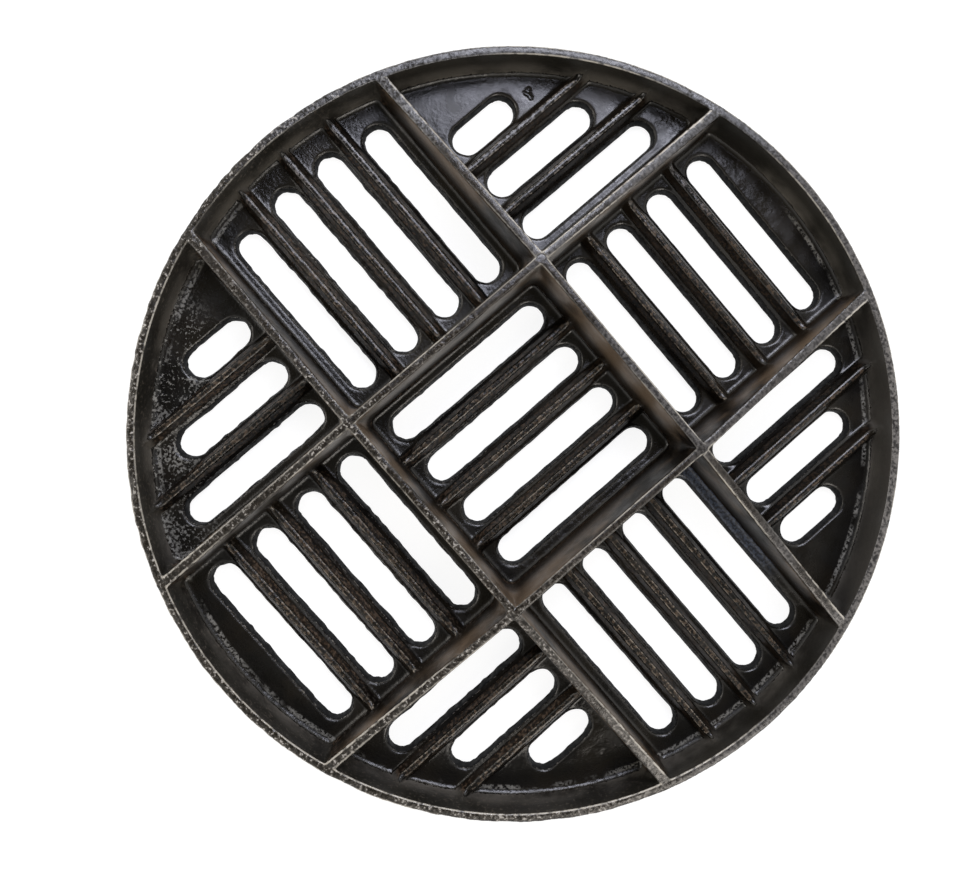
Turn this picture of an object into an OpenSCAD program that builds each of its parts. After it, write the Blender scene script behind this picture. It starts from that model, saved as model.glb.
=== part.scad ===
// Round cast drain grate, one casting: a slotted plate inside a deep rim, stiffened underneath by four
// main ribs and by a smaller rib on every bar between two slots.
// It stands on its flat walking face at z = 0, with the ribbed underside upwards.
// Each main rib runs from rim to rim. The two pairs cross and part the plate into a centre cell, four
// edge cells and four corner cells, whose slots turn from cell to cell like a basket weave.

/* [Rim] */
// Diameter over the rim at the walking face
grate_d = 300; // [260:1:420]
// Height of the rim, from the walking face to the flat land it hangs or stands on
rim_h = 21; // [16:0.5:32]
// Width of that flat land
rim_land_w = 3.4; // [2.5:0.1:8]
// Taper of the rim's outer wall, degrees
rim_outer_draft = 1; // [0:0.25:4]
// Taper of the rim's inner wall, degrees
rim_inner_draft = 2; // [0:0.25:5]
// Hollow round between the rim's inner wall and the plate
rim_fillet_r = 2.4; // [1:0.2:5]
// Rounding of the walking face's outer edge
rim_edge_r = 1; // [0.4:0.1:3]

/* [Plate and slots] */
// Thickness of the plate
plate_t = 5; // [3:0.25:9]
// Width of a slot at the walking face
slot_w = 11.2; // [7:0.1:14]
// How much wider each side of a slot is at the plate's back
slot_flare = 1; // [0.2:0.1:2]
// Distance from one slot to the next, middle to middle
slot_pitch = 21.9; // [19:0.1:26]
// Slots side by side in the centre cell, which also sets how long a full slot is
slots_per_cell = 4; // [2:1:5]
// Distance from the middle of a main rib to the slots beside it, at the walking face
slot_rib_gap = 8.2; // [7.5:0.1:12]
// Distance from the rim's inner wall to the tips of the slots that end there
slot_rim_gap = 10; // [7:0.1:16]
// Least distance from the rim's inner wall to a full slot that lies across an edge cell
slot_side_gap = 7; // [4:0.1:12]
// Shortest slot worth casting, in slot widths
slot_shortest = 1.6; // [1.2:0.1:4]

/* [Main ribs] */
// Height of the main ribs round the centre cell, above the walking face
main_rib_h = 34; // [32:0.5:50]
// Width of their crest at that height
main_rib_w = 3.2; // [2.4:0.1:6]
// Taper of each side, degrees
main_rib_draft = 2.5; // [0:0.25:4]
// Hollow round where they meet the plate
main_rib_fillet_r = 2; // [0.5:0.1:3]
// Hollow round in each upright corner, where they cross and where they meet the rim
corner_fillet_r = 4; // [1:0.25:7]

/* [Bar ribs] */
// Height of the rib on each bar between two slots, above the walking face
bar_rib_h = 9.5; // [8:0.25:15]
// Width of its crest, measured over the rounded edges
bar_rib_w = 2.3; // [1.6:0.1:4]
// Rounding of the crest's edges
bar_rib_edge_r = 0.5; // [0.2:0.1:0.7]
// Distance on the plate's back from the foot of the rib to each slot
bar_land_w = 1.3; // [1:0.1:1.8]
// Hollow round at the foot of the rib, within that distance
bar_rib_fillet_r = 0.8; // [0.3:0.1:1.1]
// Hollow round in which the crest climbs the main rib or the rim that it runs into
bar_rib_end_r = 4; // [1:0.25:6]
// Thickness of the web under that round
bar_rib_end_w = 1.8; // [1:0.1:3]

/* [Hidden] */
iron = [0.14, 0.13, 0.12];

ROUND_FN = 180;     // sides of the rim's circles
SLOT_FN = 32;       // sides of a slot's round end
ARC_STEPS = 5;      // straight steps in a small fillet or rounding
CUT = 1;            // how far a cutter runs past the surface that it opens
BED = 1.5;          // how deep a rib's foot is let into the plate

// Rim
land_outer_r = grate_d / 2 - rim_h * tan(rim_outer_draft);
land_inner_r = land_outer_r - rim_land_w;
rib_end_r = land_outer_r - rim_land_w / 2;
function inner_wall_r(z) = land_inner_r - (rim_h - z) * tan(rim_inner_draft);
function main_rib_half_w(z) = main_rib_w / 2 + (main_rib_h - z) * tan(main_rib_draft);

// Slot pattern, seen from above and measured from the grate's middle
slot_end_r = slot_w / 2;
cell_half = (slots_per_cell - 1) * slot_pitch / 2 + slot_end_r;
rib_pos = cell_half + slot_rib_gap;
outer_slot_pos = rib_pos + slot_rib_gap + slot_end_r;
slot_end_circle_r = inner_wall_r(plate_t) - slot_rim_gap - slot_end_r;
side_circle_r = inner_wall_r(plate_t) - slot_side_gap - slot_end_r;
full_slot_reach = cell_half - slot_end_r;
shortest_reach = (slot_shortest - 1) * slot_w;

// Where the middles of the slots beside a main rib lie, from the rib outwards, up to a limit
function rows_up_to(limit) = [for (at = outer_slot_pos; at <= limit; at = at + slot_pitch) at];
function chord_half(r, off) = sqrt(max(0, pow(r, 2) - pow(off, 2)));
function slot_reach(off) = chord_half(slot_end_circle_r, off);
cell_rows = [for (i = [0 : slots_per_cell - 1]) (i - (slots_per_cell - 1) / 2) * slot_pitch];
edge_rows = rows_up_to(chord_half(side_circle_r, full_slot_reach));
corner_rows = [for (at = rows_up_to(slot_end_circle_r))
    if (slot_reach(at) - outer_slot_pos >= shortest_reach) at];

// Corner points of an arc of radius r about c, from angle a to angle b
function arc(c, r, a, b) =
    [for (i = [0 : ARC_STEPS]) let (t = a + (b - a) * i / ARC_STEPS)
        [c[0] + r * cos(t), c[1] + r * sin(t)]];

// A polygon's points mirrored across the line x = 0 and joined to the points themselves
function both_sides(points) =
    concat(points, [for (i = [len(points) - 1 : -1 : 0]) [-points[i][0], points[i][1]]]);

// Extrudes a shape drawn as [across, height] along X, from 0
module along_x(length) {
    rotate([90, 0, 90])
        linear_extrude(length) children();
}

// Plate and rim, turned about the grate's axis
module plate_and_rim() {
    wall_foot_r = inner_wall_r(plate_t + rim_fillet_r);
    outer_wall_r = grate_d / 2 - rim_edge_r * tan(rim_outer_draft);
    rotate_extrude($fn = ROUND_FN)
        polygon(concat(
            [[0, 0]],
            arc([outer_wall_r - rim_edge_r, rim_edge_r], rim_edge_r, -90, 0),
            [[land_outer_r, rim_h], [land_inner_r, rim_h]],
            arc([wall_foot_r - rim_fillet_r, plate_t + rim_fillet_r], rim_fillet_r, 0, -90),
            [[0, plate_t]]));
}

// All that lies under the crest line of the main ribs along X, which is level between the crossings
// and falls from there to the rim
module under_crest() {
    crest_end = chord_half(land_inner_r, rib_pos);
    rotate([90, 0, 0])
        linear_extrude(grate_d, center = true)
            polygon(both_sides([
                [rib_pos, main_rib_h], [crest_end, rim_h], [grate_d / 2, rim_h], [grate_d / 2, 0]]));
}

// The two main ribs along X: tapered walls with a hollow round at the foot
module main_rib_pair() {
    foot_z = plate_t + main_rib_fillet_r;
    foot_half_w = main_rib_half_w(foot_z) + main_rib_fillet_r;
    intersection() {
        for (side = [-1, 1])
            translate([-grate_d / 2, side * rib_pos, 0]) along_x(grate_d)
                polygon(both_sides(concat(
                    [[main_rib_w / 2, main_rib_h]],
                    arc([foot_half_w, foot_z], main_rib_fillet_r, 180, 270),
                    [[foot_half_w, plate_t - BED]])));
        under_crest();
    }
}

// Extrudes a section drawn at the plate's back upwards, leaning by lean = [dx, dy] for each unit of height
module leaning(lean) {
    translate([0, 0, plate_t])
        rotate([-atan(lean[1]), atan(lean[0]), 0])
            translate([0, 0, -BED])
                linear_extrude(main_rib_h - plate_t + 2 * BED) children();
}

// Hollow round in one upright corner of the crossing at +X +Y, on the side that away = [x, y] points to
module crossing_corner(away) {
    r = corner_fillet_r;
    taper = tan(main_rib_draft);
    corner = [for (side = away) rib_pos + side * main_rib_half_w(plate_t)];
    translate([corner[0], corner[1], 0])
        leaning(-taper * away)
            mirror([away[0] < 0 ? 1 : 0, 0]) mirror([0, away[1] < 0 ? 1 : 0])
                polygon(concat([[-BED, -BED], [r, -BED]], arc([r, r], r, 270, 180), [[-BED, r]]));
}

// Hollow round in the upright corner between the rim at +X and the main rib at +Y, on the rib's outer side
// for side = 1 and on its inner side for side = -1
module rim_corner(side) {
    r = corner_fillet_r;
    wall_r = inner_wall_r(plate_t);
    rib_y = rib_pos + side * main_rib_half_w(plate_t);
    c = [chord_half(wall_r - r, rib_y + side * r), rib_y + side * r];
    toward_wall = atan(c[1] / c[0]);
    drift_y = -side * tan(main_rib_draft);
    drift_x = ((wall_r - r) * tan(rim_inner_draft) - c[1] * drift_y) / c[0];
    leaning([drift_x, drift_y])
        polygon(concat(
            [[c[0], rib_y - side * BED]],
            arc(c, r, -90 * side, toward_wall),
            [(wall_r + BED) * [cos(toward_wall), sin(toward_wall)],
             [chord_half(wall_r, rib_y) + BED, rib_y - side * BED]]));
}

// A rib on a bar along X, from x0 to x1: a wedge with a narrow flat crest between rounded edges
module bar_rib(x0, x1) {
    crest_half = bar_rib_w / 2;
    foot_half = (slot_pitch - slot_w) / 2 - slot_flare - bar_land_w;
    draft = atan((foot_half - crest_half) / (bar_rib_h - plate_t));
    // How far the middle of a round that touches both a level face and the rib's side lies from their corner
    function round_off(r) = r * (1 - sin(draft)) / cos(draft);
    crest_end = crest_half - round_off(bar_rib_edge_r);
    foot_end = foot_half + round_off(bar_rib_fillet_r);
    translate([x0, 0, 0])
        along_x(x1 - x0)
            polygon(both_sides(concat(
                arc([crest_end, bar_rib_h - bar_rib_edge_r], bar_rib_edge_r, 90, draft),
                arc([foot_end, plate_t + bar_rib_fillet_r], bar_rib_fillet_r, 180 + draft, 270),
                [[foot_end, plate_t - BED]])));
}

// The web on the end of a bar rib along X, whose crest climbs a wall that faces -X at x = wall
module bar_rib_end(wall) {
    r = bar_rib_end_r;
    rotate([90, 0, 0])
        linear_extrude(bar_rib_end_w, center = true)
            polygon(concat(
                arc([wall - r, bar_rib_h + r], r, -90, 0),
                [[wall + BED, bar_rib_h + r], [wall + BED, plate_t], [wall - r, plate_t]]));
}

// Cutter for a slot along X whose round ends are centred at x0 and x1, wider at the plate's back
module slot_cutter(x0, x1) {
    function half_w(z) = slot_end_r + slot_flare * z / plate_t;
    side = [[half_w(-CUT), -CUT], [half_w(plate_t + CUT), plate_t + CUT]];
    length = x1 - x0;
    translate([x0, 0, 0]) {
        along_x(length) polygon(both_sides(side));
        for (end = [[0, 90], [length, -90]])
            translate([end[0], 0, 0])
                rotate([0, 0, end[1]])
                    rotate_extrude(angle = 180, $fn = SLOT_FN)
                        polygon(concat([[0, -CUT]], side, [[0, plate_t + CUT]]));
    }
}

// The slots of one edge cell and one corner cell, on the +X side and the +X +Y corner
module edge_cell_slots() {
    for (y = cell_rows)
        translate([0, y, 0]) slot_cutter(outer_slot_pos, slot_reach(y));
}
module corner_cell_slots() {
    for (x = corner_rows)
        translate([x, 0, 0]) rotate(90) slot_cutter(outer_slot_pos, slot_reach(x));
}

// Slots across the +Y edge cell, which lie along X like the ones in the centre cell do along Y
module crosswise_cell_slots() {
    for (y = edge_rows)
        translate([0, y, 0]) slot_cutter(-full_slot_reach, full_slot_reach);
}

module all_slots() {
    for (x = cell_rows)
        translate([x, 0, 0]) rotate(90) slot_cutter(-full_slot_reach, full_slot_reach);
    for (turn = [0, 1]) mirror([0, turn, 0]) crosswise_cell_slots();
    for (turn = [0, 1]) mirror([turn, 0, 0]) {
        edge_cell_slots();
        for (flip = [0, 1]) mirror([0, flip, 0]) corner_cell_slots();
    }
}

// A rib on the bar between each two neighbouring slots of a list of rows
function bars(rows) = [for (i = [0 : 1 : len(rows) - 2]) (rows[i] + rows[i + 1]) / 2];

// The bar rib at y = 0 of the centre cell or of an edge cell across it, with both ends on main ribs
module bar_rib_between_ribs() {
    bar_rib(-rib_pos, rib_pos);
    for (turn = [0, 1]) mirror([turn, 0, 0])
        bar_rib_end(rib_pos - main_rib_half_w(bar_rib_h));
}

// The bar rib that runs from the main rib at +X into the rim, off to one side by y
module bar_rib_to_rim(y) {
    translate([0, y, 0]) {
        bar_rib(rib_pos, grate_d / 2);
        bar_rib_end(chord_half(inner_wall_r(bar_rib_h), y));
        mirror([1, 0, 0]) bar_rib_end(-rib_pos - main_rib_half_w(bar_rib_h));
    }
}

module all_bar_ribs() {
    for (x = bars(cell_rows))
        translate([x, 0, 0]) rotate(90) bar_rib_between_ribs();
    for (turn = [0, 1]) mirror([0, turn, 0])
        for (y = bars(edge_rows)) translate([0, y, 0]) bar_rib_between_ribs();
    for (turn = [0, 1]) mirror([turn, 0, 0]) {
        for (y = bars(cell_rows)) bar_rib_to_rim(y);
        for (flip = [0, 1]) mirror([0, flip, 0])
            for (x = bars(corner_rows)) rotate(90) bar_rib_to_rim(-x);
    }
}

// The two pairs of main ribs with their crossings
module all_main_ribs() {
    for (turn = [0, 90]) rotate(turn) main_rib_pair();
    intersection() {
        for (turn = [0, 90, 180, 270]) rotate(turn)
            for (x = [-1, 1], y = [-1, 1]) crossing_corner([x, y]);
        under_crest();
        rotate(90) under_crest();
    }
}

module all_rim_corners() {
    for (turn = [0, 90, 180, 270]) rotate(turn)
        for (flip = [0, 1]) mirror([0, flip, 0])
            for (side = [-1, 1]) rim_corner(side);
}

// What its children have inside the middle of the rim's land, up to a height
module within_rim(height) {
    intersection() {
        children();
        cylinder(h = height, r = rib_end_r, $fn = ROUND_FN);
    }
}

module grate() {
    color(iron)
        difference() {
            union() {
                plate_and_rim();
                within_rim(main_rib_h + CUT) all_main_ribs();
                within_rim(rim_h) {
                    all_bar_ribs();
                    all_rim_corners();
                }
            }
            all_slots();
        }
}

grate();
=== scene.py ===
"""A round cast-iron drain grate, lying on its walking face and seen from its ribbed underside.

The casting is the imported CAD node, remeshed so that its arrises and corners are round as sand leaves them,
roughened, and dressed in a glossy black dip coat.
"""

import bpy
import numpy as np
from mathutils import Matrix, Vector, kdtree


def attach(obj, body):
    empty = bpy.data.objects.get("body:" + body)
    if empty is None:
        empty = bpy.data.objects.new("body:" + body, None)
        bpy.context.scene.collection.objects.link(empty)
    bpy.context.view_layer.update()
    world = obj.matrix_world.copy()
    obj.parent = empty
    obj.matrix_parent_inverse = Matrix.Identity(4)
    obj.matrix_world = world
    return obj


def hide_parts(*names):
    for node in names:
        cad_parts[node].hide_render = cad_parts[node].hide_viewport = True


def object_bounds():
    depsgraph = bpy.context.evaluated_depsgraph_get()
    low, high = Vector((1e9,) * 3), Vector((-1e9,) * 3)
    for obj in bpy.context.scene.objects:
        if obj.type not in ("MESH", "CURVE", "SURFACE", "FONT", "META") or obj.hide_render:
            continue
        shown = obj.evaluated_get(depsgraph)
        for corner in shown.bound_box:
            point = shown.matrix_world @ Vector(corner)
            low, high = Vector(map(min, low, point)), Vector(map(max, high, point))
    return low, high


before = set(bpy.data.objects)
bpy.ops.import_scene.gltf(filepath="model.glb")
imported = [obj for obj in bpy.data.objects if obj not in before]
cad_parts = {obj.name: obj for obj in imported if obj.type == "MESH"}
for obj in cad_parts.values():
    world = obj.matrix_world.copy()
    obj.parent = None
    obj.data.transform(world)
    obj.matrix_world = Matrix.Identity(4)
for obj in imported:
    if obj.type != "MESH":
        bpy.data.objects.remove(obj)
CAD_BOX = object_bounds()
MM = 0.001

# The photograph's camera, fitted to the grate: X runs down and to the right in the picture, Y up and right
FRAME_W, FRAME_H = 965, 892
FOCAL_PX = 849.6
VANISHING_PX = (511.6, 416.1)
CAMERA_AT = Vector((-25.19, -15.90, 346.70)) * MM
CAMERA_RIGHT = Vector((0.65053, 0.75616, 0.07093))
CAMERA_DOWN = Vector((0.75785, -0.65241, 0.00459))
CAMERA_AHEAD = Vector((0.04975, 0.05077, -0.99747))

# The picture's own directions on the floor
PICTURE_UP = Vector((-0.762, 0.648, 0))
PICTURE_RIGHT = Vector((0.648, 0.762, 0))


def make_camera():
    data = bpy.data.cameras.new("camera")
    data.sensor_width = 36
    data.lens = FOCAL_PX / FRAME_W * data.sensor_width
    data.shift_x = -(VANISHING_PX[0] - FRAME_W / 2) / FRAME_W
    data.shift_y = (VANISHING_PX[1] - FRAME_H / 2) / FRAME_W
    data.clip_start = 0.01
    camera = bpy.data.objects.new("camera", data)
    axes = Matrix((CAMERA_RIGHT, -CAMERA_DOWN, -CAMERA_AHEAD)).transposed()
    camera.matrix_world = Matrix.Translation(CAMERA_AT) @ axes.to_4x4()
    bpy.context.scene.collection.objects.link(camera)
    bpy.context.scene.camera = camera


# Sizes of the CAD node, in millimetres and degrees, that part one kind of surface from another
PLATE_BACK_Z = 5
BAR_CREST_Z = 9.5
BAR_CREST_HALF_W = 1.15
RIM_TOP_Z = 21
MAIN_CREST_Z = 34
MAIN_CREST_HALF_W = 1.6
MAIN_DRAFT = 2.5
RIM_DRAFT = 2.0
CORNER_FILLET_R = 4.0
SLOT_PITCH = 21.9
MAIN_RIB_AT = 46.65
FIRST_CORNER_BAR_AT = 71.4
SLOTS_END_R = 140
LAND_INNER_R = 146.23
LAND_OUTER_R = 149.63
LAND_MIDDLE_R = (LAND_INNER_R + LAND_OUTER_R) / 2
MAIN_CREST_END = (LAND_INNER_R**2 - MAIN_RIB_AT**2) ** 0.5

# Half the width of a main rib at the bars' crests, and where those crests end at the rim
MAIN_FOOT_HALF_W = 3.4
BARS_END_R = 142.5

# Where the hollow round of the rim's inner wall ends on the plate
WALL_FOOT_R = 142.8

# How much sharper than the CAD node the upright corners are near the crests: the power that their hollow
# round is bent with, the heights between which that sets in at the crossings and at the rim, the distances
# along a main rib between which its corners with the rim begin, and how wide the fade beside a round is
CORNER_POWER = 2.2
CROSSING_SHARP_Z = (20, 30)
RIM_SHARP_Z = (11, 18)
RIM_CORNERS_FROM = (120, 125)
CORNER_FADE = 1.5

# Distances from the height of the plate's back at which the slots' edges start to be rounded and are fully so
LIP_FADE = (1.6, 0.8)

# Upward share of the normal on a slope that isn't a wall yet and on one that fully is
WALL_NORMAL_Z = (0.75, 0.35)

# Direction on the floor in which the mould gets coarser, and from where to where it does
COARSEWARD = (-0.35, -1)
COARSE_BETWEEN = (-60, 90)

# Unevenness of each kind of surface, in millimetres: its depth where the mould was smooth, how much deeper it
# is where the mould was coarse, the cell of its noise, and the noise's layers and seed
PLATE_WAVES = (0.09, 0, 18, 2, 11)
SLOT_WAVES = (0.08, 0.22, 9, 2, 31)
SLOT_CHATTER = (0.05, 0.30, 2.6, 1, 35)
BAR_LUMPS = (0.05, 0.18, 2.6, 2, 61)
RIM_LUMPS = (0.06, 0.36, 3.6, 2, 41)
RIM_LUMPS_INWARD = 0.4
CREST_GRAINS = (0.04, 0.12, 1.9, 1, 51)

# How much the noise is stretched upward on the slots' walls and on the rim, as the mould's draw leaves it
SLOT_STRETCH = (1, 1, 0.4)
RIM_STRETCH = (1, 1, 0.3)

# Middle of a cluster of pits in the plate, how far they spread and the depth and radius of one
PITS_AT = (-103.0, 91.0)
PITS_SPREAD = 1.3
PITS = 4
PIT_DEPTH = 0.5
PIT_R = 0.8
PITS_SEED = 95

# Cell and seeds of the noise that says where the two edges of a crest are worn and carry a painted highlight
WORN_HIGHLIT_CELL = 55
WORN_HIGHLIT_SEEDS = (71, 81)

# Distances from the middle in the picture's directions, in millimetres: over which the worn edges' painted
# highlight grows stronger and painted light makes bare iron lighter toward the right, lightest on the rim,
# and where the top cell begins
WORN_HIGHLIT_BETWEEN = (-150, 130)
LIT_PALER_BETWEEN = (-110, 60)
LIT_PALEST_BETWEEN = (112, 148)
TOP_BETWEEN = (75, 125)

# The remesh, the rounds of smoothing everywhere and again on the slots' edges, and the share of the way to
# the middle of its neighbours that a vertex goes in a round
VOXEL = 0.56 * MM
SMOOTHING_ROUNDS = 3
LIP_ROUNDS = 3
SMOOTHING_SHARE = 0.5
MOST_TRIANGLES = 196000


def value_noise(points, cell, seed):
    """Smooth random values from -1 to 1 at points, on a seeded lattice with this cell size."""
    rng = np.random.default_rng(seed)
    at = (points - points.min(0)) / cell
    base = np.floor(at).astype(int)
    t = at - base
    t = t * t * (3 - 2 * t)
    lattice = rng.uniform(-1, 1, base.max(0) + 2)
    out = np.zeros(len(points))
    for corner in np.ndindex(2, 2, 2):
        weight = np.prod(np.where(corner, t, 1 - t), axis=1)
        out += weight * lattice[tuple((base + corner).T)]
    return out


def layered_noise(points, cell, layers, seed):
    """Value noise summed over finer and finer cells, about -1 to 1."""
    shares = [0.5**i for i in range(layers)]
    total = sum(share * value_noise(points, cell * share, seed + i) for i, share in enumerate(shares))
    return total / sum(shares)


def step(x, a, b):
    """0 at a and before, 1 at b and past it, and smooth between; b may be less than a."""
    t = np.clip((x - a) / (b - a), 0, 1)
    return t * t * (3 - 2 * t)


def remeshed(source):
    """A dense, even mesh of the CAD node's surface."""
    mesh = source.data.copy()
    work = bpy.data.objects.new("work", mesh)
    bpy.context.scene.collection.objects.link(work)
    voxels = work.modifiers.new("voxels", "REMESH")
    voxels.mode = "VOXEL"
    voxels.voxel_size = VOXEL
    voxels.use_smooth_shade = True
    graph = bpy.context.evaluated_depsgraph_get()
    dense = bpy.data.meshes.new_from_object(work.evaluated_get(graph))
    bpy.data.objects.remove(work)
    bpy.data.meshes.remove(mesh)
    return dense


def coordinates(mesh):
    co = np.empty(len(mesh.vertices) * 3)
    mesh.vertices.foreach_get("co", co)
    return co.reshape(-1, 3)


def set_coordinates(mesh, co):
    mesh.vertices.foreach_set("co", co.ravel())
    mesh.update()


def normals(mesh):
    n = np.empty(len(mesh.vertices) * 3, np.float32)
    mesh.vertex_normals.foreach_get("vector", n)
    return n.reshape(-1, 3).astype(float)


class Neighbours:
    """The edges of a mesh, for averages over the vertices joined to each vertex."""

    def __init__(self, mesh):
        ends = np.empty(len(mesh.edges) * 2, int)
        mesh.edges.foreach_get("vertices", ends)
        self.a, self.b = ends.reshape(-1, 2).T
        self.count = np.bincount(ends, minlength=len(mesh.vertices))

    def mean(self, values):
        columns = values.reshape(len(self.count), -1).T
        size = len(self.count)
        sums = [np.bincount(self.a, c[self.b], size) + np.bincount(self.b, c[self.a], size) for c in columns]
        return (np.array(sums) / self.count).T.reshape(values.shape)


def main_crest_z(along):
    """Height of a main rib's crest at a distance along it from the middle: level, then falling to the rim."""
    fall = (along - MAIN_RIB_AT) / (MAIN_CREST_END - MAIN_RIB_AT)
    return MAIN_CREST_Z - (MAIN_CREST_Z - RIM_TOP_Z) * np.clip(fall, 0, 1)


def sharpen_corner(mm, u, v, face_u, face_v, level):
    """Draws the hollow round between two walls in towards their corner, in place.

    u and v are the distances from the walls, face_u and face_v the walls' normals, and level from 0 to 1
    says how much.
    """
    cos_between = (face_u * face_v).sum(1)
    reach = CORNER_FILLET_R * (1 - cos_between)
    moved = []
    for near, other in ((u, v), (v, u)):
        share = np.clip(near / reach, 0, 1)
        bent = reach * share ** (1 + (CORNER_POWER - 1) * level)
        inside = (near > 0) & (near < reach)
        moved.append(np.where(inside, bent - near, 0) * step(other, reach + CORNER_FADE, reach))
    du, dv = moved
    across = 1 - cos_between**2
    mm[:, :2] += ((du - cos_between * dv) / across)[:, None] * face_u
    mm[:, :2] += ((dv - cos_between * du) / across)[:, None] * face_v


def sharpen_corners(mm):
    """Sharpens the corners at the crossings and at the rim's ends of the main ribs, near their crests."""
    for along, across, at_rim in ((0, 1, False), (0, 1, True), (1, 0, True)):
        sharpen_one_set(mm, along, across, at_rim)


def sharpen_one_set(mm, along, across, at_rim):
    """Sharpens the corners of the main ribs that run along one axis, with the others or with the rim."""
    z = mm[:, 2]
    half_w = MAIN_CREST_HALF_W + (MAIN_CREST_Z - z) * np.tan(np.radians(MAIN_DRAFT))

    def wall(axis):
        off = abs(mm[:, axis]) - MAIN_RIB_AT
        face = np.zeros((len(mm), 2))
        face[:, axis] = np.sign(mm[:, axis]) * np.sign(off)
        return abs(off) - half_w, face

    u, face_u = wall(across)
    if at_rim:
        r = np.hypot(mm[:, 0], mm[:, 1])
        v = LAND_INNER_R - (RIM_TOP_Z - z) * np.tan(np.radians(RIM_DRAFT)) - r
        face_v = -mm[:, :2] / np.maximum(r, 1)[:, None]
        level = step(z, *RIM_SHARP_Z) * step(abs(mm[:, along]), *RIM_CORNERS_FROM)
    else:
        v, face_v = wall(along)
        level = step(z, *CROSSING_SHARP_Z)
    sharpen_corner(mm, u, v, face_u, face_v, level)


def past_crest_edge(mm):
    """How far each point lies past the nearest edge of a main rib's crest or of the rim's land.

    It is negative on the crest. Also returns whether the point is on the crest's outer side.
    """
    x, y = abs(mm[:, 0]), abs(mm[:, 1])
    z = mm[:, 2]
    r = np.hypot(x, y)
    past = [
        abs(y - MAIN_RIB_AT) - MAIN_CREST_HALF_W + main_crest_z(x) - z,
        abs(x - MAIN_RIB_AT) - MAIN_CREST_HALF_W + main_crest_z(y) - z,
        abs(r - LAND_MIDDLE_R) - (LAND_OUTER_R - LAND_INNER_R) / 2 + RIM_TOP_Z - z,
    ]
    outer = [y > MAIN_RIB_AT, x > MAIN_RIB_AT, r > LAND_MIDDLE_R]
    nearest = np.argmin(past, axis=0)
    return np.choose(nearest, past), np.choose(nearest, outer)


def past_bar_edge(mm):
    """How far each point lies past the nearest edge of a bar's crest, negative on the crest."""
    x, y = abs(mm[:, 0]), abs(mm[:, 1])
    across = np.where((x < MAIN_RIB_AT) == (y < MAIN_RIB_AT), x, y)
    first = np.where(across < MAIN_RIB_AT, 0, FIRST_CORNER_BAR_AT)
    rows = np.round((across - first) / SLOT_PITCH)
    off = abs(across - first - rows * SLOT_PITCH)
    past = off - BAR_CREST_HALF_W + BAR_CREST_Z - mm[:, 2]
    from_main_rib = np.minimum(abs(x - MAIN_RIB_AT), abs(y - MAIN_RIB_AT))
    elsewhere = [MAIN_FOOT_HALF_W - from_main_rib, np.hypot(x, y) - BARS_END_R, mm[:, 2] - BAR_CREST_Z - 1]
    return np.maximum(past, np.max(elsewhere, axis=0))


def within_slots(r):
    """1 as far from the axis as the slots reach and 0 farther out."""
    return step(r, SLOTS_END_R + 1, SLOTS_END_R)


def round_arrises(mesh):
    """Rounds every arris, and the slots' edges most, and sharpens the upright corners.

    Returns the new coordinates in metres and the distances from the axis in millimetres.
    """
    around = Neighbours(mesh)
    co = coordinates(mesh)
    for _ in range(SMOOTHING_ROUNDS):
        co += SMOOTHING_SHARE * (around.mean(co) - co)
    mm = co / MM
    sharpen_corners(mm)
    co = mm * MM
    r = np.hypot(co[:, 0], co[:, 1]) / MM
    z = co[:, 2] / MM
    lip = step(abs(z - PLATE_BACK_Z), *LIP_FADE) * within_slots(r)
    for _ in range(LIP_ROUNDS):
        co += SMOOTHING_SHARE * lip[:, None] * (around.mean(co) - co)
    set_coordinates(mesh, co)
    return co, r


def in_picture(mm, direction):
    """How far each point lies from the grate's middle in one of the picture's directions."""
    return mm[:, :2] @ np.array(direction[:2])


def uneven(mm, coarse, kind, inward=0):
    """How far noise of one kind moves each point along its normal, in millimetres."""
    smooth_depth, coarse_depth, cell, layers, seed = kind
    return (smooth_depth + coarse_depth * coarse) * (layered_noise(mm, cell, layers, seed) - inward)


def pitted(mm):
    """How deep the pits in the plate are at each point, in millimetres."""
    depth = np.zeros(len(mm))
    for x, y in np.random.default_rng(PITS_SEED).normal(PITS_AT, PITS_SPREAD, (PITS, 2)):
        depth += PIT_DEPTH * np.exp(-((mm[:, 0] - x) ** 2 + (mm[:, 1] - y) ** 2) / PIT_R**2)
    return depth


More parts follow.
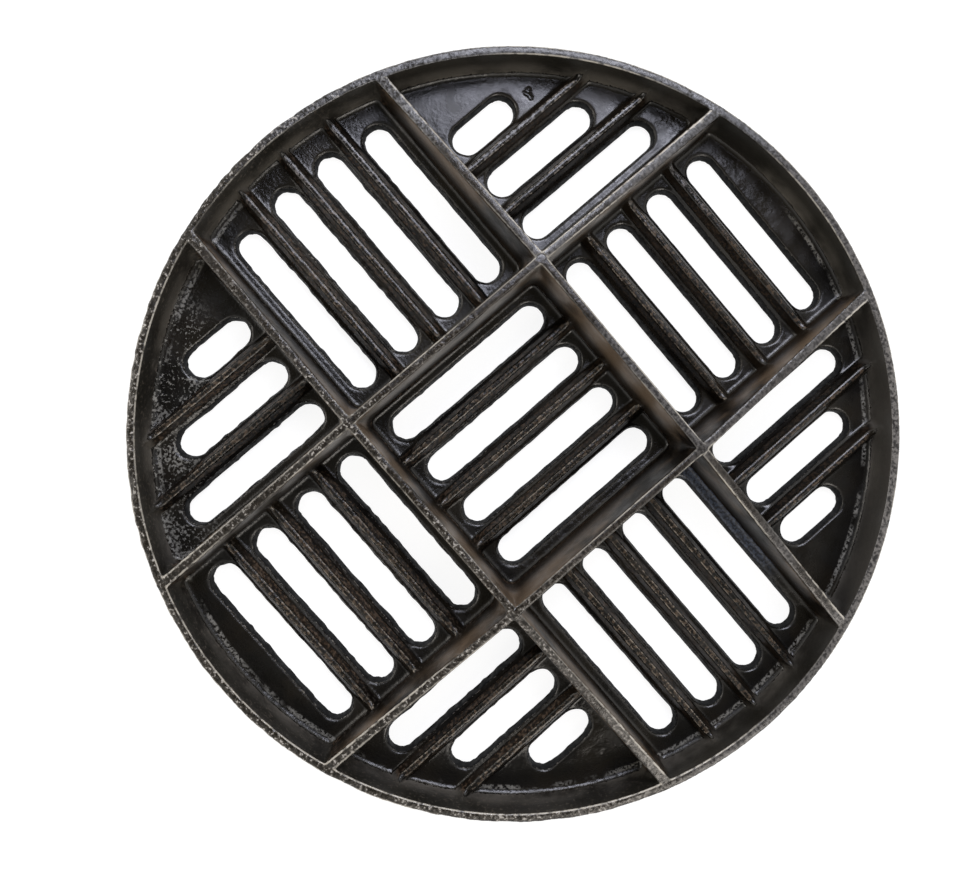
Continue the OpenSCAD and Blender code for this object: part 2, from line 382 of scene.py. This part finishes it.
def cast_surface(mesh):
    """Rounds, sharpens and roughens the surface. Returns values at each vertex that the coat uses."""
    co, r = round_arrises(mesh)
    n = normals(mesh)
    mm = co / MM
    z = mm[:, 2]
    # 1 toward the picture's bottom left, where the mould was coarser, and 0 toward its top right
    coarse = step(COARSEWARD[0] * mm[:, 0] + COARSEWARD[1] * mm[:, 1], *COARSE_BETWEEN)
    past_edge, outer = past_crest_edge(mm)
    past_bar = past_bar_edge(mm)
    upright = step(abs(n[:, 2]), *WALL_NORMAL_Z)
    slot_wall = upright * step(z, PLATE_BACK_Z + 0.8, PLATE_BACK_Z - 0.4) * within_slots(r)
    on_bar = step(z, PLATE_BACK_Z + 0.5, PLATE_BACK_Z + 2) * step(z, BAR_CREST_Z + 1, BAR_CREST_Z)
    outer_wall = step(r, LAND_OUTER_R - 2.6, LAND_OUTER_R - 0.9)
    crest = step(past_edge, 0.2, -0.5)
    on_plate = step(abs(z - PLATE_BACK_Z), 3, 1.5) * n[:, 2].clip(0, 1)

    push = uneven(mm, coarse, PLATE_WAVES)
    push += slot_wall * uneven(mm * SLOT_STRETCH, coarse, SLOT_WAVES)
    push += slot_wall * uneven(mm * SLOT_STRETCH, coarse, SLOT_CHATTER)
    push += on_bar * uneven(mm, coarse, BAR_LUMPS)
    push += outer_wall * uneven(mm * RIM_STRETCH, coarse, RIM_LUMPS, RIM_LUMPS_INWARD)
    push += crest * uneven(mm, coarse, CREST_GRAINS)
    push -= on_plate * pitted(mm)
    co += n * (push * MM)[:, None]
    set_coordinates(mesh, np.clip(co, *np.array(CAD_BOX)))

    # Wear and a painted highlight on the two edges of a crest, which differ from side to side and from place
    # to place
    sides = [step(layered_noise(mm, WORN_HIGHLIT_CELL, 2, seed), -0.35, 0.25) for seed in WORN_HIGHLIT_SEEDS]
    rightward = in_picture(mm, PICTURE_RIGHT)
    # Painted light: bare iron is made lighter toward the picture's right, and most of all on the rim there
    to_right_rim = in_picture(mm, PICTURE_RIGHT - 0.1 * PICTURE_UP)
    return {
        "past_edge": np.clip(past_edge, -2, 3),
        "past_bar": np.clip(past_bar, -2, 3),
        # Painted highlight and wear on the crests' edges, stronger toward the picture's right
        "worn_highlit": np.where(outer, *sides) * (0.75 + 0.25 * step(rightward, *WORN_HIGHLIT_BETWEEN)),
        "on_main_rib": step(past_edge - MAIN_CREST_Z, 0, -10) * step(r, LAND_INNER_R - 4, LAND_INNER_R - 8),
        "on_rim": step(r, LAND_INNER_R - 3, LAND_INNER_R - 1.6),
        "upright": upright,
        "slot_wall": slot_wall,
        "coarse": coarse,
        "lit_pale": 0.1 + 0.3 * step(to_right_rim, *LIT_PALER_BETWEEN) + 0.6 * step(to_right_rim, *LIT_PALEST_BETWEEN),
        "top": step(in_picture(mm, PICTURE_UP), *TOP_BETWEEN),
        "faces_x": step(n[:, 0], 0.5, 0.9),
    }


def decimated(mesh):
    """The mesh with its flat and gently curved places in fewer triangles."""
    triangles = sum(len(p.vertices) - 2 for p in mesh.polygons)
    work = bpy.data.objects.new("work", mesh)
    bpy.context.scene.collection.objects.link(work)
    fewer = work.modifiers.new("fewer", "DECIMATE")
    fewer.ratio = min(1, MOST_TRIANGLES / triangles)
    fewer.use_collapse_triangulate = True
    graph = bpy.context.evaluated_depsgraph_get()
    sparse = bpy.data.meshes.new_from_object(work.evaluated_get(graph))
    bpy.data.objects.remove(work)
    return sparse


def make_casting():
    """The casting's surface as an object, with the values that the coat uses at its vertices."""
    dense = remeshed(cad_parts["grate"])
    values = cast_surface(dense)
    mesh = decimated(dense)
    mesh.name = "grate_casting"
    tree = kdtree.KDTree(len(dense.vertices))
    for i, p in enumerate(coordinates(dense)):
        tree.insert(p, i)
    tree.balance()
    nearest = [tree.find(p)[1] for p in coordinates(mesh)]
    for name, value in values.items():
        attribute = mesh.attributes.new(name, "FLOAT", "POINT")
        attribute.data.foreach_set("value", value[nearest].astype(np.float32))
    mesh.polygons.foreach_set("use_smooth", [True] * len(mesh.polygons))
    mesh.normals_split_custom_set_from_vertices(normals(dense)[nearest])
    set_coordinates(mesh, np.clip(coordinates(mesh), *np.array(CAD_BOX)))
    bpy.data.meshes.remove(dense)
    casting = bpy.data.objects.new("grate_casting", mesh)
    bpy.context.scene.collection.objects.link(casting)
    return casting


class Shading:
    """A new material and short ways to add and join its nodes."""

    def __init__(self, name):
        self.material = bpy.data.materials.new(name)
        self.material.use_nodes = True
        self.tree = self.material.node_tree
        self.tree.nodes.clear()
        self.out = self.add("OutputMaterial").inputs["Surface"]
        self.place = None

    def add(self, kind):
        return self.tree.nodes.new("ShaderNode" + kind)

    def join(self, value, socket):
        """Links an output to a socket, or sets the socket to a number or colour."""
        if isinstance(value, bpy.types.NodeSocket):
            self.tree.links.new(value, socket)
        elif isinstance(value, tuple):
            socket.default_value = (*value, 1)
        else:
            socket.default_value = value

    def principled(self):
        """Makes the surface a principled shader and returns that shader's inputs."""
        shader = self.add("BsdfPrincipled")
        self.join(shader.outputs["BSDF"], self.out)
        return shader.inputs

    def position(self):
        """The grate's own coordinates, in metres."""
        if self.place is None:
            self.place = self.add("TexCoord").outputs["Object"]
        return self.place

    def noise(self, scale, detail=3, roughness=0.5):
        node = self.add("TexNoise")
        self.join(self.position(), node.inputs["Vector"])
        self.join(scale, node.inputs["Scale"])
        self.join(detail, node.inputs["Detail"])
        self.join(roughness, node.inputs["Roughness"])
        return node.outputs["Fac"]

    def coordinate(self, axis):
        """One coordinate, in millimetres."""
        node = self.add("SeparateXYZ")
        self.join(self.position(), node.inputs[0])
        return self.math("DIVIDE", node.outputs[axis], MM)

    def radius(self):
        """Distance from the grate's axis, in millimetres."""
        squares = [self.product(v, v) for v in (self.coordinate("X"), self.coordinate("Y"))]
        return self.math("POWER", self.math("ADD", *squares), 0.5)

    def distance(self, value, middle=0):
        return self.math("ABSOLUTE", self.math("SUBTRACT", value, middle), 0)

    def product(self, *factors):
        out = factors[0]
        for factor in factors[1:]:
            out = self.math("MULTIPLY", out, factor)
        return out

    def most(self, *values):
        out = values[0]
        for value in values[1:]:
            out = self.math("MAXIMUM", out, value)
        return out

    def value(self, name):
        node = self.add("Attribute")
        node.attribute_name = name
        return node.outputs["Fac"]

    def ranged(self, value, a, b, c=0.0, d=1.0):
        """Turns a to b into c to d, smoothly and clamped."""
        node = self.add("MapRange")
        node.interpolation_type = "SMOOTHSTEP"
        for name, v in (("Value", value), ("From Min", a), ("From Max", b), ("To Min", c), ("To Max", d)):
            self.join(v, node.inputs[name])
        return node.outputs["Result"]

    def math(self, operation, a, b):
        node = self.add("Math")
        node.operation = operation
        self.join(a, node.inputs[0])
        self.join(b, node.inputs[1])
        return node.outputs[0]

    def bump(self, strength, depth, height, over=None):
        """A bump of a depth in millimetres, laid over another one's normal where that is given."""
        node = self.add("Bump")
        self.join(strength, node.inputs["Strength"])
        self.join(depth * MM, node.inputs["Distance"])
        self.join(height, node.inputs["Height"])
        if over is not None:
            self.join(over, node.inputs["Normal"])
        return node.outputs["Normal"]

    def mixed(self, factor, a, b):
        """Colour a where the factor is 0 and colour b where it is 1."""
        node = self.add("Mix")
        node.data_type = "RGBA"
        sockets = {s.name: s for s in node.inputs if s.type == "RGBA"}
        self.join(factor, node.inputs["Factor"])
        self.join(a, sockets["A"])
        self.join(b, sockets["B"])
        return next(s for s in node.outputs if s.type == "RGBA")


# Colours of the coat and of the iron under it, some with painted light, shade, sheen and glints in them
COAT_BLACK = (0.0050, 0.0045, 0.0040)
COAT_BROWN = (0.0115, 0.0092, 0.0064)
BAR_CREST_BROWN = (0.070, 0.050, 0.034)
# Grey of the bar crests in the top cell: a painted sheen of the cool light above
BAR_CREST_SHEEN_GREY = (0.170, 0.170, 0.180)
# Painted bluish sheen: a reflection of cool light painted on the hollow round beside the right main rib
BLUISH_SHEEN = (0.062, 0.076, 0.112)
# Grey of burnt-on grit, and of a painted highlight line at the foot of the rim's wall
GRIT_AND_HIGHLIGHT_GREY = (0.20, 0.195, 0.18)
# Bare iron's lighter grains: with painted light at the right, and on the smooth crests and in the top cell a
# painted sheen
BARE_PALE_LEFT = (0.018, 0.014, 0.009)
BARE_PALE_LIT_RIGHT = (0.175, 0.160, 0.142)
SMOOTH_SHEEN_PALE_LEFT = (0.055, 0.054, 0.056)
SMOOTH_SHEEN_PALE_RIGHT = (0.150, 0.142, 0.135)
SMOOTH_SHEEN_PALE_TOP = (0.100, 0.101, 0.108)
DULLED_PALE = (0.020, 0.0145, 0.0095)
BARE_DARK = (0.008, 0.0065, 0.0045)
SMOOTH_SHEEN_DARK = (0.026, 0.025, 0.025)
DULLED_DARK = (0.0075, 0.0055, 0.0035)
# Painted glints on the crests' grains
GLINT_SPECKLE = (0.42, 0.40, 0.37)
# Worn edges that also carry a painted highlight
WORN_HIGHLIT_EDGE = (0.48, 0.45, 0.39)
WORN_HIGHLIT_BAR_EDGE = (0.27, 0.23, 0.18)
# Painted glints along the slots' rounded lips
SLOT_LIP_GLINTS = (0.26, 0.24, 0.21)
BAR_WALL = ((0.0024, 0.0020, 0.0016), (0.0120, 0.0084, 0.0055))
BROWN_GRAIN = (0.066, 0.043, 0.027)
RIM_WALL = ((0.018, 0.0165, 0.014), (0.100, 0.092, 0.080))
RIM_WALL_TOP = (0.013, 0.012, 0.0095)
# Painted light on the rim's wall at the picture's right
RIM_WALL_LIT_RIGHT = (0.085, 0.080, 0.074)
RIB_WALL = ((0.0045, 0.0032, 0.0022), (0.125, 0.090, 0.060))
# Painted light on the main ribs' walls that face along X
RIB_WALL_LIT_GREY = (0.16, 0.15, 0.14)
# Painted shade low on the main ribs' walls, near the plate
RIB_WALL_FOOT_SHADE = (0.005, 0.0038, 0.0027)
# Painted glints on the walls' grains
WALL_GLINT = (0.14, 0.12, 0.10)
SOOT = ((0.004, 0.005, 0.006), (0.010, 0.010, 0.010))

# Scales of the noises in the coats, from broad patches to single grains
DULLED_PATCHES = 24
POOLS = 28
WALL_PATCHES = 32
BROWN_PATCHES = 45
FOOT_LINE_GAPS = 60
LIT_GREY_PATCHES = 60
GRIT_PATCHES = 110
GLOSS_PATCHES = 120
DIMPLES = 170
SOOT_PATCHES = 180
WORN_HIGHLIT_GRAIN = 350
SOOT_GRAIN = 500
WALL_GRAIN = 700
GRAIN = 800

# Depths of the bumps, in millimetres
GRAIN_DEPTH = 0.25
SOOT_DEPTH = 0.3
DIMPLE_DEPTH = 0.8

# Roughness of each coat where it is glossiest and where it is dullest, and the shine of the two dull ones
COAT_ROUGHNESS = (0.19, 0.32)
THIN_ROUGHNESS = (0.32, 0.5)
SOOT_ROUGHNESS = (0.6, 0.85)
THIN_SHINE = 0.09
SOOT_SHINE = 0.15

# Half the width of the worn line with a painted highlight along an edge of a main rib or the rim and along
# one of a bar, in millimetres, and how strong a bar's line is beside the others
WORN_HIGHLIT_HALF_W = 0.6
WORN_HIGHLIT_BAR_HALF_W = 0.45
WORN_HIGHLIT_BAR_STRENGTH = 0.75

# Heights between which the rim's wall darkens upward and painted shade darkens the main ribs' walls downward
RIM_DARKENS_Z = (8, 16)
RIB_SHADE_Z = (24, 11)

# Grit in the picture's left cell, in millimetres from where it starts to where it is full: outward from the
# axis, below the shortest slot along X and along Y, and away from the main rib along Y
GRIT_R = (120, 136)
GRIT_BELOW_SLOT_X = (-85, -97)
GRIT_BELOW_SLOT_Y = (-66, -84)
GRIT_Y = (-58, -74)

# Distances at which grit and a painted highlight start and are full: from the circle at the foot of the rim's
# wall, where the painted highlight lies as a line, and from the height of the plate's back, which all of it
# lies on
FOOT_LINE_FADE = (1.2, 0.4)
ON_PLATE_FADE = (1.6, 0.8)

# The painted bluish sheen, a painted reflection, beside the main rib at the picture's right: its middle, the
# fade on either side of that, where it starts and ends along the rib, and the heights where it starts and
# ends
SHEEN_Y = MAIN_RIB_AT - 5
SHEEN_FADE = (4.2, 2.6)
SHEEN_STARTS_X = (48, 53)
SHEEN_ENDS_X = (116, 100)
SHEEN_STARTS_Z = (3, 4.5)
SHEEN_ENDS_Z = (13, 9)


def near_edge(s, name, half_width):
    """1 on the edge of a crest and 0 from half_width away, in millimetres, on either side."""
    return s.ranged(s.distance(s.value(name)), half_width, 0.3 * half_width)


def worn_highlit_edge(s):
    """Where the edges of the main ribs' crests and of the rim's land are worn and carry a painted highlight.
    """
    broken = s.ranged(s.noise(WORN_HIGHLIT_GRAIN), 0.34, 0.52, 0.15, 1.0)
    return s.product(near_edge(s, "past_edge", WORN_HIGHLIT_HALF_W), s.value("worn_highlit"), broken)


def grit_and_foot_highlight(s, grain):
    """Where grit is burnt on to the plate, and where the highlight of the hollow round at the rim wall's foot
    is painted.

    The grit lies in the corner cell at the picture's left, toward the rim and below the shortest slot; the
    painted highlight lies in a thin broken line all round where the rim's wall ends, apart from the top.
    """
    x, y, r = s.coordinate("X"), s.coordinate("Y"), s.radius()
    left_cell = s.product(s.math("LESS_THAN", x, -MAIN_RIB_AT), s.math("LESS_THAN", y, -MAIN_RIB_AT))
    below_slot = s.product(s.ranged(y, *GRIT_BELOW_SLOT_Y), s.ranged(x, *GRIT_BELOW_SLOT_X))
    left = s.product(s.most(s.ranged(r, *GRIT_R), below_slot), left_cell, s.ranged(y, *GRIT_Y))
    patchy = s.math("ADD", grain, s.ranged(s.noise(GRIT_PATCHES, 4, 0.6), 0.35, 0.65, -0.10, 0.05))
    left = s.product(left, s.ranged(patchy, 0.50, 0.60))

    # Painted highlight of the hollow round at the foot of the rim's wall, as a broken line
    at_foot = s.ranged(s.distance(r, WALL_FOOT_R), *FOOT_LINE_FADE)
    broken = s.product(s.ranged(s.noise(FOOT_LINE_GAPS), 0.38, 0.52), s.ranged(grain, 0.42, 0.55))
    line = s.product(at_foot, broken, s.ranged(s.value("top"), 0.5, 0.0))
    on_plate = s.ranged(s.distance(s.coordinate("Z"), PLATE_BACK_Z), *ON_PLATE_FADE)
    return s.product(s.most(left, line), on_plate)


def bluish_sheen(s, grain):
    """Where a painted bluish sheen, a painted reflection, lies: on the hollow round beside the main rib at
    the picture's right.
    """
    x, y, z = s.coordinate("X"), s.coordinate("Y"), s.coordinate("Z")
    across = s.ranged(s.distance(y, SHEEN_Y), *SHEEN_FADE)
    along = s.product(s.ranged(x, *SHEEN_STARTS_X), s.ranged(x, *SHEEN_ENDS_X))
    upward = s.product(s.ranged(z, *SHEEN_STARTS_Z), s.ranged(z, *SHEEN_ENDS_Z))
    return s.product(across, along, upward, s.ranged(grain, 0.42, 0.58, 0.3, 1.0))


def bare_iron(s, grain, coarse):
    """Colour of the crests: grainy, smoother toward the picture's top right, where a painted sheen greys
    them, and made lighter toward the right by painted light.
    """
    smooth = s.ranged(coarse, 0.45, 0.0)
    # Painted light toward the right, and painted sheen on the smooth crests and in the top cell
    lit_pale = s.mixed(s.value("lit_pale"), BARE_PALE_LEFT, BARE_PALE_LIT_RIGHT)
    lit_pale = s.mixed(smooth, lit_pale, s.mixed(s.value("lit_pale"), SMOOTH_SHEEN_PALE_LEFT, SMOOTH_SHEEN_PALE_RIGHT))
    lit_pale = s.mixed(s.ranged(s.value("top"), 0.6, 1.0), lit_pale, SMOOTH_SHEEN_PALE_TOP)
    dulled = s.product(s.value("on_main_rib"), s.ranged(s.noise(DULLED_PATCHES), 0.58, 0.44, 0.0, 0.8))
    lit_pale = s.mixed(dulled, lit_pale, DULLED_PALE)
    dark = s.mixed(dulled, s.mixed(smooth, BARE_DARK, SMOOTH_SHEEN_DARK), DULLED_DARK)
    # Painted glints: bright specks on the crests' grains, most where the mould was coarse
    glint_speckled = s.product(s.ranged(grain, 0.56, 0.67), s.ranged(coarse, 0.1, 0.9, 0.05, 0.9))
    glint_speckled = s.product(glint_speckled, s.ranged(dulled, 0.0, 0.8, 1.0, 0.35))
    return s.mixed(glint_speckled, s.mixed(s.ranged(grain, 0.38, 0.60), dark, lit_pale), GLINT_SPECKLE)


def coated_iron():
    """Black dip coat over sand-cast iron, bare and grainy on the crests and worn lighter along their edges,
    with painted highlights, glints and sheen in its colour.
    """
    s = Shading("coated_iron")
    inputs = s.principled()
    grain = s.noise(GRAIN, 3, 0.6)
    coarse = s.value("coarse")
    crest = s.ranged(s.value("past_edge"), 0.5, 0.0)
    grit_or_foot_highlight = grit_and_foot_highlight(s, grain)

    colour = s.mixed(s.ranged(s.noise(BROWN_PATCHES), 0.4, 0.65), COAT_BLACK, COAT_BROWN)
    bar_crest = s.product(s.ranged(s.value("past_bar"), 0.5, -0.2), s.ranged(grain, 0.48, 0.62))
    # Painted sheen: the bar crests in the top cell turn grey
    colour = s.mixed(bar_crest, colour, s.mixed(s.value("top"), BAR_CREST_BROWN, BAR_CREST_SHEEN_GREY))
    # Painted bluish sheen, a painted reflection, beside the main rib at the picture's right
    colour = s.mixed(bluish_sheen(s, grain), colour, BLUISH_SHEEN)
    # Grit, and a painted highlight line at the foot of the rim's wall
    colour = s.mixed(grit_or_foot_highlight, colour, GRIT_AND_HIGHLIGHT_GREY)
    colour = s.mixed(crest, colour, bare_iron(s, grain, coarse))
    # Painted highlight, with wear, along the edges of the crests and of the bars
    colour = s.mixed(worn_highlit_edge(s), colour, WORN_HIGHLIT_EDGE)
    bar_edge = s.product(near_edge(s, "past_bar", WORN_HIGHLIT_BAR_HALF_W), s.value("worn_highlit"))
    bar_edge = s.product(bar_edge, s.ranged(grain, 0.45, 0.58), WORN_HIGHLIT_BAR_STRENGTH)
    colour = s.mixed(bar_edge, colour, WORN_HIGHLIT_BAR_EDGE)
    # Painted glints along the slots' lips
    lip = s.product(s.ranged(s.value("slot_wall"), 0.05, 0.3), s.ranged(grain, 0.5, 0.62))
    colour = s.mixed(s.product(lip, s.ranged(coarse, 0, 1, 0.25, 0.8)), colour, SLOT_LIP_GLINTS)
    s.join(colour, inputs["Base Color"])

    s.join(s.ranged(s.noise(GLOSS_PATCHES), 0.3, 0.7, *COAT_ROUGHNESS), inputs["Roughness"])
    rough_crest = s.product(crest, s.ranged(coarse, 0, 0.6, 0.5, 1))
    rough_skin = s.most(s.ranged(coarse, 0, 1, 0.25, 0.7), grit_or_foot_highlight, rough_crest)
    cast_skin = s.bump(rough_skin, GRAIN_DEPTH, grain)
    # Broad dimples where the coat pooled and ran
    pooled = s.ranged(s.noise(POOLS, 2), 0.42, 0.62, 0.05, 0.6)
    s.join(s.bump(pooled, DIMPLE_DEPTH, s.noise(DIMPLES, 2), cast_skin), inputs["Normal"])
    return s.material


def thin_coat():
    """The duller coat on upright walls: brown on the main ribs, grey on the rim and black on the bars, with
    painted shade low on the main ribs and painted light and glints in places.
    """
    s = Shading("thin_coat")
    inputs = s.principled()
    grain = s.noise(WALL_GRAIN, 3, 0.6)
    patches = s.ranged(s.noise(WALL_PATCHES, 4, 0.6), 0.36, 0.62)
    coarse, z = s.value("coarse"), s.coordinate("Z")

    colour = s.mixed(patches, *BAR_WALL)
    brown_grains = s.product(s.ranged(grain, 0.46, 0.60), s.ranged(coarse, 0, 0.7, 0.35, 1.0))
    colour = s.mixed(brown_grains, colour, BROWN_GRAIN)
    rim = s.mixed(patches, *RIM_WALL)
    rim = s.mixed(s.ranged(z, *RIM_DARKENS_Z, 0.0, 0.8), rim, RIM_WALL_TOP)
    # Painted light: the rim's wall turns lighter toward the picture's right
    rim = s.mixed(s.ranged(s.value("lit_pale"), 0.5, 0.9, 0.0, 0.5), rim, RIM_WALL_LIT_RIGHT)
    colour = s.mixed(s.value("on_rim"), colour, rim)
    main_rib = s.mixed(patches, *RIB_WALL)
    # Painted light: patches on the main ribs' walls that face along X turn lighter grey
    lit_greyed = s.product(s.value("faces_x"), s.ranged(s.noise(LIT_GREY_PATCHES), 0.35, 0.55))
    main_rib = s.mixed(lit_greyed, main_rib, RIB_WALL_LIT_GREY)
    # Painted shade: the main ribs' walls darken toward the plate
    main_rib = s.mixed(s.ranged(z, *RIB_SHADE_Z, 0.0, 0.9), main_rib, RIB_WALL_FOOT_SHADE)
    colour = s.mixed(s.value("on_main_rib"), colour, main_rib)
    # Painted glints on the walls' grains, most where the mould was coarse
    wall_glints = s.product(s.ranged(grain, 0.55, 0.68), s.ranged(coarse, 0, 1, 0.05, 0.4))
    colour = s.mixed(wall_glints, colour, WALL_GLINT)
    # Painted highlight, with wear, along the crests' edges
    s.join(s.mixed(worn_highlit_edge(s), colour, WORN_HIGHLIT_EDGE), inputs["Base Color"])

    s.join(s.ranged(s.noise(GLOSS_PATCHES), 0.3, 0.7, *THIN_ROUGHNESS), inputs["Roughness"])
    s.join(THIN_SHINE, inputs["Specular IOR Level"])
    s.join(s.bump(s.ranged(coarse, 0, 1, 0.35, 0.8), GRAIN_DEPTH, grain), inputs["Normal"])
    return s.material


def sooty_wall():
    """The dull, nearly black inside of the slots."""
    s = Shading("slot_inside")
    inputs = s.principled()
    s.join(s.mixed(s.noise(SOOT_PATCHES), *SOOT), inputs["Base Color"])
    s.join(s.ranged(s.noise(SOOT_GRAIN), 0.3, 0.7, *SOOT_ROUGHNESS), inputs["Roughness"])
    s.join(SOOT_SHINE, inputs["Specular IOR Level"])
    s.join(s.bump(0.6, SOOT_DEPTH, s.noise(WALL_GRAIN)), inputs["Normal"])
    return s.material


def dress(casting):
    """Gives the casting its coat, and the upright walls and the faces in the slots their own."""
    mesh = casting.data
    mesh.materials.clear()
    for material in (coated_iron(), thin_coat(), sooty_wall()):
        mesh.materials.append(material)
    corners = np.empty(len(mesh.polygons) * 3, int)
    mesh.polygons.foreach_get("vertices", corners)

    def over_faces(name):
        values = np.empty(len(mesh.vertices), np.float32)
        mesh.attributes[name].data.foreach_get("value", values)
        return values[corners.reshape(-1, 3)].mean(1)

    index = np.where(over_faces("upright") > 0.5, 1, 0)
    index[over_faces("slot_wall") > 0.5] = 2
    mesh.polygons.foreach_set("material_index", index)


# The floor's half width and depth below the walking face, in metres, the grey that light bounces off, and
# how bright it looks to the camera and in mirrors
FLOOR_HALF = 3
FLOOR_BELOW = 0.2 * MM
FLOOR_GREY = (0.25, 0.25, 0.25)
FLOOR_BRIGHTNESS = 0.88


def make_floor():
    """A white floor that keeps the grate's shadow."""
    mesh = bpy.data.meshes.new("floor")
    corners = [(-1, -1), (1, -1), (1, 1), (-1, 1)]
    mesh.from_pydata([(x * FLOOR_HALF, y * FLOOR_HALF, -FLOOR_BELOW) for x, y in corners], [], [(0, 1, 2, 3)])
    floor = bpy.data.objects.new("floor", mesh)
    bpy.context.scene.collection.objects.link(floor)
    s = Shading("white_floor")
    matt = s.add("BsdfDiffuse")
    s.join(FLOOR_GREY, matt.inputs["Color"])
    path = s.add("LightPath")
    rays = [path.outputs[name] for name in ("Is Camera Ray", "Is Glossy Ray", "Is Transmission Ray")]
    glow = s.add("Emission")
    s.join(s.product(s.most(*rays), FLOOR_BRIGHTNESS), glow.inputs["Strength"])
    both = s.add("AddShader")
    s.join(matt.outputs[0], both.inputs[0])
    s.join(glow.outputs[0], both.inputs[1])
    s.join(both.outputs[0], s.out)
    mesh.materials.append(s.material)


# Colours of the lamps
COOL_WHITE = (0.86, 0.88, 1.0)
SKY_BLUE = (0.82, 0.84, 1.0)
WARM_WHITE = (1.0, 0.93, 0.85)


def in_room(rightward, upward, height):
    """A place in the room, given in the picture's directions on the floor and a height, in metres."""
    return PICTURE_RIGHT * rightward + PICTURE_UP * upward + Vector((0, 0, height))


def soft_box(name, at, width, height, colour, power, facing_down=False):
    """A rectangular lamp at a place above the floor that faces the grate's middle, or straight down."""
    data = bpy.data.lights.new(name, "AREA")
    data.shape = "RECTANGLE"
    data.size, data.size_y = width, height
    data.color = colour
    data.energy = power
    lamp = bpy.data.objects.new(name, data)
    toward = Vector((0, 0, 1)) if facing_down else at.normalized()
    lamp.matrix_world = Matrix.Translation(at) @ toward.to_track_quat("Z", "Y").to_matrix().to_4x4()
    bpy.context.scene.collection.objects.link(lamp)


def make_lamps():
    """A window at the picture's top, a patch of sky that the top cell mirrors and two warm fills."""
    below_camera = Vector((CAMERA_AT.x, CAMERA_AT.y, 0))
    window_at = below_camera + in_room(0.2, 0.78, 1.0)
    soft_box("window", window_at, 0.55, 0.40, COOL_WHITE, 6.0)
    soft_box("sky_panel", Vector((-0.30, 0.42, 1.0)), 0.42, 0.42, SKY_BLUE, 3.0, facing_down=True)
    soft_box("fill", in_room(0.5, -0.85, 0.8), 0.5, 0.5, WARM_WHITE, 4.0)
    soft_box("side_fill", in_room(-1.0, 0.1, 0.6), 0.5, 0.5, WARM_WHITE, 2.2)


# The room's colours: at the horizon and below, overhead from the sine of a height on, and its walls' tint
# with how bright that is at the sines of the heights between
HORIZON = (0.9, 0.9, 0.9)
OVERHEAD = (0.115, 0.108, 0.088)
OVERHEAD_FROM = 0.9
WALL_TINT = (1, 0.97, 0.92)
WALL_LEVELS = ((0.25, 0.95), (0.6, 1.0), (0.8, 0.5))

# The room's strength toward the picture's bottom and toward its top
ROOM_STRENGTH = (0.85, 1.05)


def make_world():
    """A room that is dark overhead, bright lower down and brightest toward the picture's top."""
    world = bpy.data.worlds.new("room")
    bpy.context.scene.world = world
    world.use_nodes = True
    nodes, links = world.node_tree.nodes, world.node_tree.links
    toward = nodes.new("ShaderNodeTexCoord").outputs["Generated"]
    axes = nodes.new("ShaderNodeSeparateXYZ")
    links.new(toward, axes.inputs[0])
    height = nodes.new("ShaderNodeValToRGB")
    links.new(axes.outputs["Z"], height.inputs["Fac"])
    ramp = height.color_ramp.elements
    ramp[0].position, ramp[0].color = 0.0, (*HORIZON, 1)
    ramp[1].position, ramp[1].color = OVERHEAD_FROM, (*OVERHEAD, 1)
    for position, brightness in WALL_LEVELS:
        ramp.new(position).color = (*(brightness * tint for tint in WALL_TINT), 1)
    side = nodes.new("ShaderNodeVectorMath")
    side.operation = "DOT_PRODUCT"
    links.new(toward, side.inputs[0])
    side.inputs[1].default_value = PICTURE_UP
    level = nodes.new("ShaderNodeMapRange")
    links.new(side.outputs["Value"], level.inputs["Value"])
    for name, v in zip(("From Min", "From Max", "To Min", "To Max"), (-1, 1, *ROOM_STRENGTH)):
        level.inputs[name].default_value = v
    links.new(height.outputs["Color"], nodes["Background"].inputs["Color"])
    links.new(level.outputs["Result"], nodes["Background"].inputs["Strength"])


make_camera()
casting = make_casting()
dress(casting)
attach(casting, "root")
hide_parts("grate")

make_floor()
make_world()
make_lamps()

bpy.context.scene.view_settings.view_transform = "Standard"
